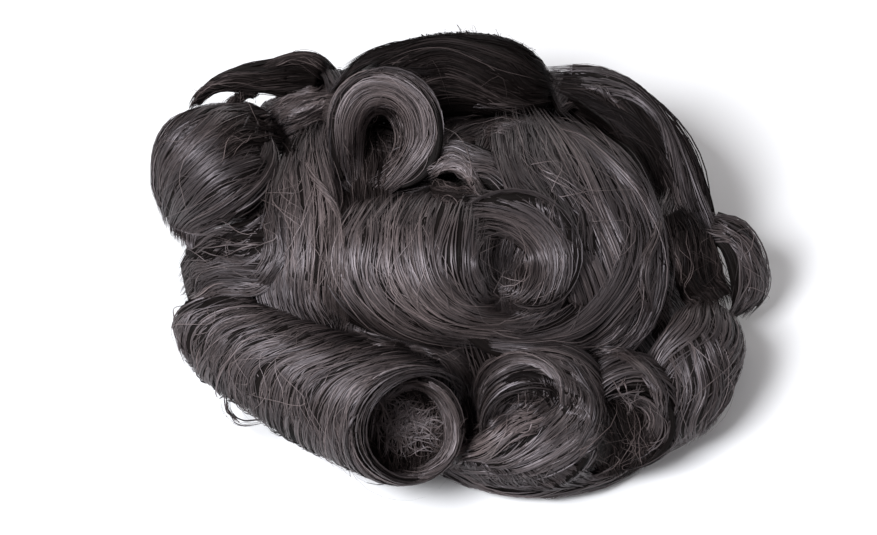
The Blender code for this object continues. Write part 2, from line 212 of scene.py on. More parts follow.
WHORL_COLUMNS = ("turn", "radius", "half_width", "thickness", "lean", "rise")
WHORLS = {
    "centre_swirl": ((0.19, -0.32, 0.68), (0.12, -0.55, 0.82), (
        (262, 1.42, 0.35, 0.8, 20, -0.12),
        (175, 1.3, 0.62, 1.1, 20, 0.03),
        (80, 1.12, 0.6, 1.1, 20, 0.12),
        (-30, 0.88, 0.5, 1.1, 20, 0.25),
        (-140, 0.6, 0.42, 1, 20, 0.35),
        (-260, 0.34, 0.25, 0.8, 20, 0.42),
    )),
    "crown_ring_curl": ((-0.23, 0.13, 0.82), (0, -0.5, 0.86), (
        (150, 1.02, 0.25, 0.7, 50, -0.45),
        (90, 0.74, 0.42, 1, 45, -0.15),
        (0, 0.9, 0.48, 1.1, 45, 0.15),
        (-90, 0.78, 0.56, 1.1, 45, 0.05),
        (-150, 0.88, 0.48, 1, 45, -0.2),
        (-185, 0.92, 0.25, 0.6, 45, -0.3),
    )),
}

LOCK_COLUMNS = ("x", "y", "z", "half_width", "thickness", "lean")
LOCKS = {
    "right_inner_lock": (
        (0.65, 0.05, 0.54, 0.3, 0.6, -20),
        (0.61, -0.16, 0.58, 0.35, 0.9, -10),
        (0.59, -0.31, 0.49, 0.4, 0.9, 0),
        (0.64, -0.40, 0.26, 0.3, 0.6, 0),
    ),
    "centre_right_wave": (
        (0.26, 0.32, 0.62, 1.3, 0.8, 0),
        (0.33, 0.09, 0.73, 1.8, 1.2, 0),
        (0.41, -0.12, 0.71, 1.8, 1.3, 0),
        (0.46, -0.29, 0.62, 1.5, 1.3, 0),
        (0.46, -0.42, 0.49, 1.1, 1, 0),
        (0.37, -0.49, 0.41, 0.6, 0.6, 0),
    ),
    "right_ribbon_lock": (
        (0.32, 0.50, 0.64, 0.3, 0.6, -40),
        (0.44, 0.46, 0.64, 0.62, 0.9, -40),
        (0.56, 0.36, 0.61, 0.72, 1, -40),
        (0.65, 0.20, 0.56, 0.8, 1, -35),
        (0.71, 0.04, 0.49, 0.8, 1, -30),
        (0.76, -0.08, 0.39, 0.65, 0.8, -20),
    ),
    "right_side_lock": (
        (0.79, -0.01, 0.45, 0.4, 0.6, -20),
        (0.87, -0.06, 0.41, 0.52, 0.8, -20),
        (0.91, -0.15, 0.33, 0.55, 0.9, -20),
        (0.91, -0.21, 0.21, 0.55, 0.9, -10),
        (0.86, -0.24, 0.11, 0.4, 0.6, 0),
    ),
    "left_back_lock": (
        (-0.45, 0.58, 0.52, 0.7, 1, -50),
        (-0.57, 0.58, 0.54, 0.65, 1, -50),
        (-0.70, 0.58, 0.53, 0.4, 0.8, -50),
        (-0.80, 0.56, 0.50, 0.18, 0.6, -50),
        (-0.87, 0.52, 0.42, 0.08, 0.4, -50),
    ),
    "left_band_lock": (
        (-0.35, 0.54, 0.45, 0.6, 0.8, 0),
        (-0.45, 0.52, 0.44, 0.75, 0.9, 0),
        (-0.54, 0.49, 0.42, 0.7, 0.9, 0),
        (-0.60, 0.43, 0.37, 0.4, 0.7, 0),
    ),
    "left_centre_lock": (
        (-0.45, 0.32, 0.54, 0.7, 0.9, 0),
        (-0.48, 0.00, 0.67, 0.9, 1, 0),
        (-0.49, -0.21, 0.61, 1, 1, 0),
        (-0.47, -0.36, 0.50, 0.9, 0.9, 0),
        (-0.42, -0.45, 0.40, 0.7, 0.7, 0),
    ),
    "left_front_lock": (
        (-0.54, -0.14, 0.58, 0.7, 0.8, 0),
        (-0.66, -0.18, 0.49, 0.95, 1, 0),
        (-0.78, -0.19, 0.40, 0.9, 1, 0),
        (-0.87, -0.19, 0.26, 0.6, 0.7, 0),
    ),
    "right_under_lock": (
        (0.65, -0.05, 0.59, 0.5, 0.8, 0),
        (0.70, -0.13, 0.53, 0.7, 0.9, 0),
        (0.74, -0.20, 0.44, 0.7, 0.9, 0),
        (0.77, -0.24, 0.31, 0.5, 0.7, 0),
    ),
    "crown_arch_lock": (
        (0.15, -0.05, 0.74, 0.3, 0.8, 0),
        (0.07, 0.03, 0.79, 0.45, 1, 0),
        (-0.02, 0.06, 0.79, 0.45, 1, 0),
        (-0.10, 0.02, 0.76, 0.25, 0.6, 0),
    ),
    "front_under_lock": (
        (-0.06, -0.82, 0.08, 0.3, 0.6, 0),
        (0.10, -0.88, 0.08, 0.4, 0.9, 0),
        (0.27, -0.90, 0.08, 0.4, 1, 0),
        (0.43, -0.87, 0.08, 0.4, 0.9, 0),
        (0.58, -0.79, 0.08, 0.3, 0.6, 0),
    ),
}

# How hair lies by default. density, width: shares of LAYERS and STRAND_WIDTH. inner_share, strays: the shares
# of strands on a curl's inner side and of stray hairs. roots, root: how far along roots start, and how far
# all move back. ragged, reach: how uneven the tips are, and how far they go on. wander: each strand's own
# sway. level: the place in the wall's thickness. tone: what is added to each strand's, which some styles
# raise as painted light and others lower as painted shade. clumps: the share of their depth. span: the core's
# stretch
# of the sheet. comes_from, goes_to: the share of the width that hair comes from or goes to, and until or
# since
# which share of its length. ends: what a roll draws in at each end. shaded: in the darker, duller material
# that
# paints shade. bare: without a core.
HAIR = dict(density=1, width=1.3, inner_share=0.25, strays=0.02, roots=0.12, root=0.03, ragged=0.05,
            reach=0.03, wander=1, level=(0.85, 1), tone=0, clumps=1, span=(0, 1), comes_from=(0, 0.5),
            goes_to=(0, 0.5), ends=(0, 0), shaded=False, bare=False)

# The top hair, combed over the curls. rise: how far it stands above the hair below it. bridge: how many times
# its depths are smoothed, to span gaps.
COMB = dict(HAIR, steps=16, clumps=0.75, inner_share=0, density=2, width=1, ragged=0.1, roots=0.25,
            rise=0.0015, level=(0, 1), strays=0.04, span=(0.1, 0.85), bridge=14)
# The kinds of combed hair. Their tones paint light and shade: pale, crest, rim, ring, lit and nest are raised
# as painted light, dim and feather are lowered as painted shade, and dark, black and plug are lowered as
# painted shade in the duller material that paints shade.
COMB_KINDS = {
    "sleek": {},
    "pale": dict(tone=0.2),
    "crest": dict(tone=0.08),
    "rim": dict(steps=20, rise=0.002, tone=0.3),
    "fill": dict(rise=0.003, tone=-0.05, bridge=200),
    "ring": dict(steps=24, rise=0.002, tone=0.28, bridge=80),
    "dim": dict(tone=-0.12),
    "fringe": dict(ragged=0.2, rise=0.0005, wander=0.6, strays=0, tone=-0.1),
    "feather": dict(ragged=0.3, tone=-0.2),
    "dark": dict(tone=-0.05, shaded=True),
    "black": dict(density=1.3, rise=0.0007, tone=-0.35, shaded=True, strays=0.02, root=-0.03),
    "domed": dict(steps=20, rise=0.006, bridge=200),
    "plug": dict(rise=0.001, tone=-0.1, shaded=True, strays=0.1, bridge=200),
    "lit": dict(density=1.2, ragged=0.2, rise=0.002, bare=True, tone=0.35),
    "wispy": dict(density=1, ragged=0.25, wander=1.3, bare=True),
    "loose": dict(density=0.2, ragged=0.2, rise=0.003, wander=4, strays=0.5, bare=True, tone=0.15),
    "stray": dict(density=0.07, ragged=0.2, rise=0.003, wander=2.5, strays=0.5, bare=True, tone=0.15),
    "curl": dict(steps=24, density=0.4, wander=0.3, strays=0, bare=True),
    "nest": dict(density=0.7, ragged=0.25, rise=0.004, wander=4, strays=0.4, bare=True, tone=0.35),
}

# Each lock is a kind and two or more guides. A guide is a strand that the photograph shows, as the x and y of
# its places in pixels from root to tip. A piece in COMBED_FROM is combed as seen from that azimuth and
# elevation in degrees, with places in millimetres to the right of the origin and above it.
COMBED_FROM = {"combed_back": (180, 35)}
COMBED = {}
COMBED["combed_front_left"] = (
    ("crest", (238, 297, 212, 299, 192, 315, 182, 338, 184, 362),
     (282, 312, 246, 314, 224, 331, 213, 358, 216, 388), (318, 329, 282, 334, 256, 352, 243, 380, 247, 410),
     (350, 343, 316, 348, 290, 367, 277, 395, 280, 424), (394, 350, 350, 357, 318, 378, 303, 408, 310, 440),
     (428, 362, 384, 366, 346, 387, 328, 420, 336, 455),
     (442, 374, 404, 376, 368, 394, 352, 426, 362, 464)),
    ("plug", (362, 396, 360, 428, 372, 470), (400, 376, 400, 428, 400, 478),
     (440, 386, 452, 430, 438, 474)),
    ("rim", (363, 445, 370, 404, 394, 381, 422, 377, 449, 393, 461, 425, 452, 459, 424, 480, 392, 478),
     (377, 442, 382, 412, 399, 393, 419, 389, 437, 402, 446, 428, 440, 452, 419, 467, 396, 464)),
    ("nest", (368, 402, 374, 436, 400, 458, 438, 454), (396, 388, 420, 402, 438, 418, 446, 440)),
    ("nest", (370, 452, 376, 420, 396, 400, 424, 392), (390, 464, 396, 440, 412, 424, 436, 416)),
    ("nest", (442, 400, 416, 408, 394, 428, 388, 458), (448, 430, 432, 436, 416, 450, 410, 468)),
    ("nest", (380, 440, 392, 410, 420, 400, 444, 416), (392, 462, 402, 438, 424, 428, 446, 444)),
    ("sleek", (340, 318, 372, 334, 412, 342, 452, 352), (346, 334, 378, 346, 416, 352, 450, 368)),
    ("dim", (398, 328, 432, 336, 462, 350, 482, 372), (420, 346, 440, 354, 458, 366, 470, 392),
     (430, 362, 444, 370, 456, 384, 464, 408)),
    ("curl", (222, 392, 225, 412, 242, 424, 270, 421), (228, 391, 229, 410, 244, 421, 270, 419)),
)
COMBED["combed_front"] = (
    ("plug", (450, 400, 456, 420, 460, 440, 462, 458), (480, 396, 482, 420, 484, 440, 486, 458)),
    ("domed", (476, 418, 494, 416, 509, 405, 516, 389, 514, 378),
     (459, 449, 496, 436, 525, 416, 538, 394, 536, 374), (450, 462, 503, 458, 547, 433, 566, 403, 564, 374),
     (463, 471, 522, 473, 573, 449, 595, 418, 584, 378),
     (500, 486, 544, 484, 584, 462, 606, 425, 597, 385)),
    ("black", (492, 400, 506, 380, 530, 372, 556, 382, 566, 402),
     (504, 410, 514, 396, 530, 390, 546, 396, 552, 410)),
    ("crest", (472, 424, 471, 389, 485, 364, 511, 351, 541, 354, 564, 373, 573, 405),
     (482, 405, 488, 384, 505, 370, 527, 365, 546, 373, 559, 391, 561, 413)),
    ("sleek", (553, 349, 582, 363, 600, 389, 605, 420, 586, 455),
     (549, 357, 570, 372, 583, 394, 586, 418, 572, 445)),
    ("rim", (525, 400, 508, 420, 480, 436, 450, 446), (550, 416, 528, 438, 494, 455, 454, 463)),
    ("fringe", (448, 458, 456, 470, 470, 480, 486, 484), (486, 464, 498, 476, 514, 485, 532, 489),
     (530, 466, 544, 477, 560, 485, 576, 487), (572, 456, 582, 468, 594, 476, 606, 478)),
    ("plug", (582, 416, 588, 438, 594, 458, 600, 480), (604, 400, 612, 430, 616, 455, 616, 478),
     (616, 392, 628, 425, 638, 450, 640, 470), (630, 382, 648, 412, 660, 438, 664, 455)),
    ("sleek", (584, 357, 606, 347, 631, 351, 653, 370, 667, 397, 668, 426),
     (590, 366, 608, 358, 626, 362, 643, 379, 654, 401, 656, 424)),
    ("loose", (600, 372, 618, 400, 640, 420), (648, 378, 640, 400, 618, 418)),
    ("sleek", (658, 340, 664, 372, 671, 405, 672, 434, 662, 452),
     (690, 325, 702, 360, 712, 392, 708, 420, 698, 438),
     (716, 318, 728, 348, 736, 372, 730, 398, 716, 420)),
)
COMBED["combed_centre"] = (
    ("pale", (345, 205, 344, 242, 352, 280, 375, 312, 412, 334, 468, 347),
     (368, 203, 369, 240, 377, 276, 400, 306, 438, 328, 496, 342),
     (395, 202, 396, 238, 404, 272, 426, 302, 464, 322, 518, 334),
     (422, 202, 420, 234, 428, 268, 448, 296, 482, 314, 530, 322),
     (448, 204, 440, 232, 444, 262, 460, 288, 486, 304, 520, 308)),
    ("feather", (502, 128, 505, 150, 517, 182, 536, 212, 560, 240),
     (530, 122, 538, 156, 556, 194, 574, 232, 588, 268),
     (560, 132, 580, 170, 598, 208, 612, 250, 614, 292)),
    ("dim", (640, 196, 656, 238, 653, 284, 628, 322, 585, 346, 535, 354, 485, 348),
     (612, 172, 636, 224, 632, 274, 606, 312, 568, 337, 525, 346, 482, 342),
     (586, 150, 614, 208, 610, 262, 588, 300, 553, 326, 515, 338, 480, 335)),
    ("fill", (482, 222, 466, 262, 486, 308), (506, 218, 504, 264, 510, 316),
     (530, 224, 546, 262, 530, 306)),
    ("sleek", (436, 196, 490, 193, 535, 206, 566, 236, 575, 275, 561, 312, 526, 334, 482, 336),
     (450, 215, 490, 208, 527, 218, 552, 243, 558, 276, 545, 304, 518, 322, 484, 322),
     (464, 240, 485, 224, 512, 226, 534, 245, 540, 270, 530, 292, 510, 304, 488, 300),
     (480, 262, 486, 246, 502, 240, 518, 250, 524, 268, 516, 282, 502, 286, 492, 278)),
    ("wispy", (540, 112, 578, 130, 618, 158, 658, 190), (552, 124, 586, 150, 620, 182, 650, 220)),
    ("stray", (440, 312, 480, 326, 530, 330, 580, 312), (460, 300, 500, 316, 544, 312, 590, 290)),
    ("stray", (560, 130, 600, 160, 640, 200, 650, 260), (520, 150, 550, 190, 590, 230, 620, 300)),
    ("dark", (430, 176, 450, 184, 480, 190), (430, 200, 452, 204, 482, 206)),
    ("pale", (424, 170, 445, 157, 470, 165, 489, 194), (428, 181, 447, 170, 464, 177, 478, 197)),
    ("sleek", (440, 158, 465, 145, 490, 136, 505, 138), (438, 140, 466, 124, 500, 118, 530, 126),
     (446, 116, 490, 102, 540, 110, 574, 134)),
)
COMBED["combed_crown"] = (
    ("dark", (344, 128, 342, 152, 342, 182, 348, 216), (368, 122, 364, 148, 362, 176, 368, 216),
     (396, 124, 396, 148, 392, 174, 388, 212)),
    ("ring", (384, 202, 413, 174, 437, 140, 432, 102, 405, 78, 368, 74, 340, 94, 330, 130, 340, 194),
     (368, 186, 386, 164, 394, 142, 393, 122, 386, 112, 377, 112, 370, 120, 364, 140, 363, 190)),
    ("black", (472, 34, 430, 37, 385, 47, 344, 68), (464, 60, 425, 58, 385, 66, 350, 84),
     (456, 92, 436, 84, 410, 74, 385, 70)),
    ("black", (468, 34, 500, 42, 530, 58, 548, 76), (460, 62, 492, 66, 520, 82, 545, 98),
     (452, 92, 482, 92, 512, 100, 540, 112)),
)
COMBED["combed_left"] = (
    ("dim", (288, 130, 246, 112, 202, 116, 170, 142, 157, 174, 156, 200),
     (288, 140, 242, 132, 204, 146, 177, 172, 163, 200, 163, 220),
     (286, 152, 250, 158, 216, 174, 188, 200, 174, 220, 173, 236),
     (284, 172, 252, 186, 222, 202, 198, 218, 185, 234, 184, 247),
     (292, 186, 260, 206, 230, 218, 208, 234, 198, 248, 198, 260)),
    ("dark", (292, 122, 262, 115, 235, 117, 210, 130), (290, 152, 264, 146, 240, 152, 220, 166)),
    ("black", (268, 126, 276, 144, 286, 160), (288, 124, 294, 142, 300, 158)),
    ("black", (300, 222, 258, 226, 218, 232, 190, 246, 186, 262),
     (290, 256, 248, 258, 220, 260, 202, 266, 197, 278)),
    ("dim", (284, 256, 240, 260, 208, 260, 190, 266, 188, 284),
     (288, 288, 246, 290, 220, 290, 206, 294, 202, 304)),
    ("rim", (282, 166, 284, 205, 282, 250, 269, 292), (302, 144, 306, 195, 308, 250, 300, 304),
     (320, 132, 330, 195, 335, 255, 330, 318), (334, 150, 344, 210, 347, 268, 350, 332)),
    ("lit", (298, 158, 313, 180, 330, 206, 338, 236, 344, 270),
     (303, 154, 320, 178, 337, 206, 345, 238, 350, 272)),
    ("rim", (260, 108, 296, 90, 336, 78), (272, 122, 304, 106, 338, 97), (290, 142, 314, 130, 342, 122)),
    ("wispy", (258, 206, 266, 234, 260, 262, 244, 288), (284, 200, 290, 232, 286, 264, 270, 294)),
    ("stray", (172, 233, 200, 234, 245, 243, 298, 242), (185, 268, 222, 258, 252, 248, 290, 225)),
    ("stray", (262, 160, 262, 190, 268, 220, 262, 250), (300, 170, 306, 200, 302, 230, 290, 256)),
    ("dark", (306, 70, 268, 66, 238, 68, 214, 80, 198, 94, 190, 108),
     (306, 97, 268, 93, 240, 86, 216, 87, 200, 97, 191, 109)),
    ("dark", (258, 88, 240, 94, 229, 101, 222, 111), (258, 96, 243, 100, 231, 105, 223, 111)),
    ("dark", (341, 86, 333, 68, 318, 56, 300, 53, 282, 57, 262, 65),
     (338, 98, 322, 80, 308, 68, 296, 64, 282, 65, 264, 71)),
)
COMBED["combed_right"] = (
    ("black", (556, 82, 596, 98, 640, 112, 662, 148, 668, 196),
     (552, 108, 580, 124, 606, 144, 630, 172, 652, 216)),
    ("dim", (546, 66, 590, 66, 630, 84, 662, 116, 690, 160, 710, 205, 720, 240),
     (548, 72, 588, 78, 628, 92, 661, 120, 684, 166, 698, 208, 712, 246),
     (548, 78, 586, 93, 624, 104, 654, 122, 668, 166, 676, 208, 700, 250)),
    ("wispy", (580, 82, 600, 86, 622, 100), (588, 92, 606, 98, 624, 110)),
    ("sleek", (668, 198, 662, 230, 652, 258, 650, 290, 656, 318),
     (660, 205, 652, 235, 641, 262, 638, 290, 645, 318)),
    ("dark", (672, 222, 672, 256, 680, 292, 700, 322), (690, 222, 694, 254, 702, 286, 718, 312),
     (712, 232, 718, 256, 724, 280, 734, 306)),
    ("sleek", (716, 214, 746, 232, 762, 264, 763, 296, 748, 318),
     (718, 230, 734, 250, 743, 272, 743, 298, 734, 313)),
)
COMBED["combed_back"] = (
    ("dark", (-26, 12, -30, 0, -32, -18, -32, -34), (0, 15, 0, 2, 0, -18, 0, -37),
     (26, 12, 30, 0, 32, -18, 32, -34)),
    ("dim", (22, 14, 34, 0, 44, -16, 46, -34), (36, 12, 54, 2, 68, -10, 76, -24)),
    ("dim", (-22, 14, -34, 0, -44, -16, -46, -34), (-34, 8, -54, 0, -70, -10, -80, -22)),
)


def named_columns(rows, columns):
    """The rows as one array for each named column."""
    return dict(zip(columns, np.array(rows, float).T))


def along(values, t):
    """A smooth curve through the values, read at each t from 0 to 1."""
    spans = len(values) - 1
    ends = np.concatenate(([2 * values[0] - values[1]], values, [2 * values[-1] - values[-2]]))
    i = np.clip((t * spans).astype(int), 0, spans - 1)
    f = (t * spans - i).reshape(np.shape(t) + (1,) * (np.ndim(values) - 1))
    before, a, b, after = (ends[i + k] for k in range(4))
    bend = (2 * before - 5 * a + 4 * b - after) * f ** 2
    twist = (3 * a - before - 3 * b + after) * f ** 3
    return 0.5 * (2 * a + (b - before) * f + bend + twist)


def unit(v):
    """The vectors at unit length."""
    return v / np.maximum(np.linalg.norm(v, axis=-1, keepdims=True), TINY)


def place(columns, t):
    """The points on a table's centre line at each t."""
    return np.stack([along(columns[c], t) for c in "xyz"], -1) * ENVELOPE


def heading(columns, t):
    """The directions of a table's centre line at each t."""
    ahead, behind = np.minimum(t + HEADING_STEP, 1), np.maximum(t - HEADING_STEP, 0)
    return unit(place(columns, ahead) - place(columns, behind))


def upright(axis):
    """The directions square to each axis that are nearest to up."""
    return unit(np.array((0, 0, 1.0)) - axis[..., 2:] * axis)


def lifted(points, margin):
    """The points moved out of the bed and off the surface below, so that they stay margin clear of both."""
    reach = np.linalg.norm(points / (BED + margin), axis=-1, keepdims=True)
    points = points * (1 + reach ** -LIFT_SHARPNESS) ** (1 / LIFT_SHARPNESS)
    lowest = FLOOR_GAP + margin[..., 0]
    over = points[..., 2] - lowest
    points[..., 2] = lowest + 0.5 * (over + np.hypot(over, 2 * FLOOR_SOFTNESS))
    return points


def end_share(ends, v):
    """How much of its radius a roll keeps at v, where its hair draws in at either end by that end's share."""
    near, far = (np.maximum(0, 1 - t / END_REACH) for t in (v, 1 - v))
    return 1 - ends[0] * near ** 2 - ends[1] * far ** 2


def roll_points(columns, u, v):
    """The middle of a roll's wall, u along the hair and v along the axis, with the wall's half thickness."""
    axis = heading(columns, v)
    up = upright(axis)
    side = np.cross(axis, up)
    angle = np.radians(along(columns["start"], v) + along(columns["sweep"], v) * u)[:, None]
    shrink = (1 - (1 - along(columns["inner"], v)) * u) * end_share(columns["ends"], v)
    half = np.full((len(u), 1), CURL_WALL / 2)
    radius = (CURL_RADIUS * along(columns["radius"], v) * shrink)[:, None] - half
    points = place(columns, v) + radius * (np.cos(angle) * up + np.sin(angle) * side)
    return lifted(points, half + CLEARANCE), half


def lengthwise_points(columns, u, v):
    """A roll whose hair runs along its axis, with u along the axis and v round it."""
    return roll_points(columns, v, u)


def mouth_points(columns, u, v):
    """Hair coiled in a roll's open end: u along the hair, v from the roll's wall in to the dark middle."""
    end = np.ones_like(v)
    axis = heading(columns, end)
    up = upright(axis)
    side = np.cross(axis, up)
    depth, inner, rise = columns["mouth"]
    angle = np.radians(columns["start"][-1] + columns["sweep"][-1] * u)[:, None]
    size = CURL_RADIUS * columns["radius"][-1]
    v = v[:, None]
    radius = size * (columns["inner"][-1] * (1 - (1 - inner) * v) - MOUTH_DRAW * u[:, None])
    middle = place(columns, end) + size * (rise * v * up - depth * v * axis)
    half = np.full((len(u), 1), CURL_WALL / 4)
    return lifted(middle + radius * (np.cos(angle) * up + np.sin(angle) * side), half + CLEARANCE), half


def band(columns, u, v, centre, across):
    """The middle and half thickness of hair that lies in a band on both sides of its centre line."""
    half_width = LOCK_HALF_WIDTH * along(columns["half_width"], u)
    half = (LOCK_THICKNESS * along(columns["thickness"], u) / 2)[:, None]
    return lifted(centre + across * (half_width * (2 * v - 1))[:, None], half + CLEARANCE), half


def whorl_points(whorl, u, v):
    """The middle of a whorl's hair, u along the hair and v across it, with its half thickness."""
    centre, aim, columns = whorl
    up = upright(aim)
    side = np.cross(aim, up)
    turn, lean = (np.radians(along(columns[c], u))[:, None] for c in ("turn", "lean"))
    out = np.cos(turn) * up + np.sin(turn) * side
    radius, rise = (along(columns[c], u)[:, None] for c in ("radius", "rise"))
    middle = centre + CURL_RADIUS * (radius * out + rise * aim)
    return band(columns, u, v, middle, np.cos(lean) * out + np.sin(lean) * aim)


def lock_points(columns, u, v):
    """The middle of a flat lock, u along the hair and v across it, with its half thickness."""
    centre = place(columns, u)
    ahead = heading(columns, u)
    across = unit(np.cross(ahead, unit(centre / BED ** 2)))
    out = np.cross(across, ahead)
    lean = np.radians(along(columns["lean"], u))[:, None]
    return band(columns, u, v, centre, np.cos(lean) * across + np.sin(lean) * out)


def bed_points(extra, u, v):
    """The middle of the bed's hair, u from the crown down to the rim and v once round it."""
    turn = 2 * math.pi * v + extra["twist"] * u
    rise = (1 - u) * extra["top"]
    wave = 0.5 - 0.5 * np.cos(BED_WAVES * turn + BED_WAVE_TWIST * rise)
    shrink = (1 - BED_WAVE_DEPTH * wave * np.cos(rise) / BED[1]) * np.cos(rise)
    half = np.full((len(u), 1), extra["half"])
    points = np.stack((np.cos(turn) * shrink, np.sin(turn) * shrink, np.sin(rise)), -1) * (BED - half)
    points[:, 2] = np.maximum(points[:, 2], FLOOR_GAP + half[:, 0])
    return points, half


def wall_share(u, v):
    """How thick the hair is at u, v, as a share: thinner towards its tip and its two edges."""
    edge = 1 - (1 - EDGE_SHARE) * np.abs(2 * v - 1) ** 3
    tip = 1 - (1 - TIP_SHARE) * np.maximum(0.0, 2 * u - 1) ** 2
    return edge * tip


class Sheet:
    """One sheet of hair: its middle surface and thickness, read at u along the hair and v across it."""

    def __init__(self, middle, half, outward):
        """outward is 1 where the way along the hair crossed with the way across points out, else -1."""
        normal = unit(np.cross(np.gradient(middle, axis=0), np.gradient(middle, axis=1))) * outward
        self.grid = np.concatenate((middle, normal, half), -1)
        self.width = np.linalg.norm(np.diff(middle, axis=1), axis=-1).sum(1).max()

    def read(self, u, v):
        """The middle points, outward normals and half thicknesses at u and v, straight on past the edges."""
        g = self.grid
        rows, columns = g.shape[0] - 1, g.shape[1] - 1
        inside_u, inside_v = np.clip(u, 0, 1), np.clip(v, 0, 1)
        x, y = inside_u * rows, inside_v * columns
        i = np.minimum(x.astype(int), rows - 1)
        j = np.minimum(y.astype(int), columns - 1)
        fx, fy = (x - i)[..., None], (y - j)[..., None]
        a, b, c, d = g[i, j], g[i + 1, j], g[i, j + 1], g[i + 1, j + 1]
        found = (a * (1 - fx) + b * fx) * (1 - fy) + (c * (1 - fx) + d * fx) * fy
        ahead = (b - a)[..., :3] * rows * (u - inside_u)[..., None]
        aside = (c - a)[..., :3] * columns * (v - inside_v)[..., None]
        return found[..., :3] + ahead + aside, unit(found[..., 3:6]), found[..., 6:]


def made_sheet(surface, table, outward):
    """The sheet of a surface that is worked out from its table."""
    us, vs = (np.linspace(0, 1, n + 1) for n in SHEET_STEPS)
    u, v = (a.ravel() for a in np.meshgrid(us, vs, indexing="ij"))
    middle, half = surface(table, u, v)
    share = np.ones_like(u) if surface is bed_points else wall_share(u, v)
    shape = (len(us), len(vs))
    return Sheet(middle.reshape(*shape, 3), (half[:, 0] * share).reshape(*shape, 1), outward)


def photo_rays(pixels):
    """Where the rays through the photograph's pixels start, and their directions."""
    flat = (pixels - np.array(ORIGIN_PIXEL)) * METRES_PER_PIXEL
    seen = flat[..., :1] * VIEW_RIGHT - flat[..., 1:] * VIEW_UP
    rays = unit(seen - CAMERA_PLACE)
    return np.broadcast_to(CAMERA_PLACE, rays.shape), rays


def side_rays(places, azimuth, elevation):
    """Parallel rays from one side, through places in millimetres to the right of the origin and above it."""
    azimuth, elevation = math.radians(azimuth), math.radians(elevation)
    right = np.array((math.cos(azimuth), math.sin(azimuth), 0))
    level = np.array((math.sin(azimuth), -math.cos(azimuth), 0))
    back = level * math.cos(elevation) + np.array((0, 0, math.sin(elevation)))
    seen = (places[..., :1] * right + places[..., 1:] * np.cross(back, right)) / MILLIMETRES_PER_METRE
    return seen + CAMERA_DISTANCE * back, np.broadcast_to(-back, seen.shape)


def neighbours(grid, **settings):
    """Each place's four neighbours in the grid."""
    around = np.pad(grid, 1, **settings)
    return np.stack((around[:-2, 1:-1], around[2:, 1:-1], around[1:-1, :-2], around[1:-1, 2:]))


def filled(depth):
    """The depths, with each missing one taken from those around it."""
    while np.isnan(depth).any():
        near = neighbours(depth, constant_values=np.nan)
        known = ~np.isnan(near)
        mean = np.where(known, near, 0).sum(0) / np.maximum(known.sum(0), 1)
        depth = np.where(np.isnan(depth) & known.any(0), mean, depth)
    return depth


def smoothed(depth, times):
    """The depths, each drawn halfway to the mean of its neighbours as many times."""
    for _ in range(times):
        depth = 0.5 * depth + 0.5 * neighbours(depth, mode="edge").mean(0)
    return depth


def nearest_hits(starts, rays, hair_below):
    """How far each ray goes until it meets the hair below, and not a number where it meets none."""
    depth = np.full(rays.shape[:2], np.nan)
    for i in np.ndindex(*depth.shape):
        start, ray = Vector(starts[i]), Vector(rays[i])
        distances = [tree.ray_cast(start, ray)[3] for tree in hair_below]
        depth[i] = min((d for d in distances if d is not None), default=np.nan)
    return depth


def combed_sheet(guides, view, style, hair_below):
    """Hair combed along guides, which are strands seen from one side, over the hair below it."""
    us, vs = (np.linspace(0, 1, n + 1) for n in COMB_STEPS)
    guides = np.array(guides, float).reshape(len(guides), -1, 2)
    along_guides = along(guides.transpose(1, 0, 2), us)
    places = along(along_guides.transpose(1, 0, 2), vs).transpose(1, 0, 2)
    starts, rays = side_rays(places, *view) if view else photo_rays(places)
    depth = filled(nearest_hits(starts, rays, hair_below))
    depth = smoothed(np.minimum(depth, smoothed(depth, style["bridge"])), COMB_SMOOTHING)
    swell = (1 - np.abs(2 * us - 1) ** 4)[:, None] * (1 - np.abs(2 * vs - 1) ** 4)[None, :]
    middle = starts + rays * (depth - (style["rise"] + COMB_SINK) * swell + COMB_SINK)[..., None]
    middle[..., 2] = np.maximum(middle[..., 2], FLOOR_GAP + COMB_HALF)
    sheet = Sheet(middle, np.full(depth.shape + (1,), COMB_HALF), 1)
    if (sheet.grid[..., 3:6] * rays).sum(-1).mean() > 0:
        sheet.grid[..., 3:6] *= -1
    return sheet


def flow(style, u):
    """How far across its sheet the hair has gone at u, as a share of the sheet's width."""
    side_on, until = style["comes_from"]
    turn_in, since = style["goes_to"]
    coming = side_on * np.maximum(0, 1 - u / until) ** 2
    return coming + turn_in * np.maximum(0, (u - since) / (1 - since)) ** 2


def sway(seed, width, u, v):
    """How far neighbouring strands stray together, as a share of the sheet's width."""
    rng = np.random.default_rng(seed)
    total = 0
    for size, long in SWAYS:
        phase, tilt = rng.uniform(0, 2 * math.pi, 2), rng.uniform(-1, 1)
        across = np.sin(v * width / size + phase[1])
        total = total + SWAY_SHARE * size / width * np.sin(
            2 * math.pi * (long * u + tilt) + phase[0] + 2 * across) * across
    return total


def clumps(rng, width, u, v):
    """How high the hair stands at u, v above its sheet, in clumps and finer wisps with given waves."""
    w = v * width
    drift = rng.uniform(-1, 1, 6)
    phase = rng.uniform(0, 2 * math.pi, 8)
    warp = 0.5 * np.sin(w / (2.3 * CLUMP_WIDTH) + phase[0] + 2 * drift[0] * u)
    warp += 0.35 * np.sin(w / (0.9 * CLUMP_WIDTH) + phase[1] + 3 * drift[1] * u)
    big = np.abs(np.sin(math.pi * (w / CLUMP_WIDTH + warp + 0.8 * drift[2] * u) + phase[2]))
    fine = np.abs(np.sin(math.pi * (w / WISP_WIDTH + 2 * warp + 1.5 * drift[3] * u) + phase[3]))
    swell = 0.75 + 0.25 * np.sin(w / (3.1 * CLUMP_WIDTH) + 4 * u + phase[4])
    return swell * (CLUMP_DEPTH * (big - 0.7) + WISP_DEPTH * (fine - 0.6))


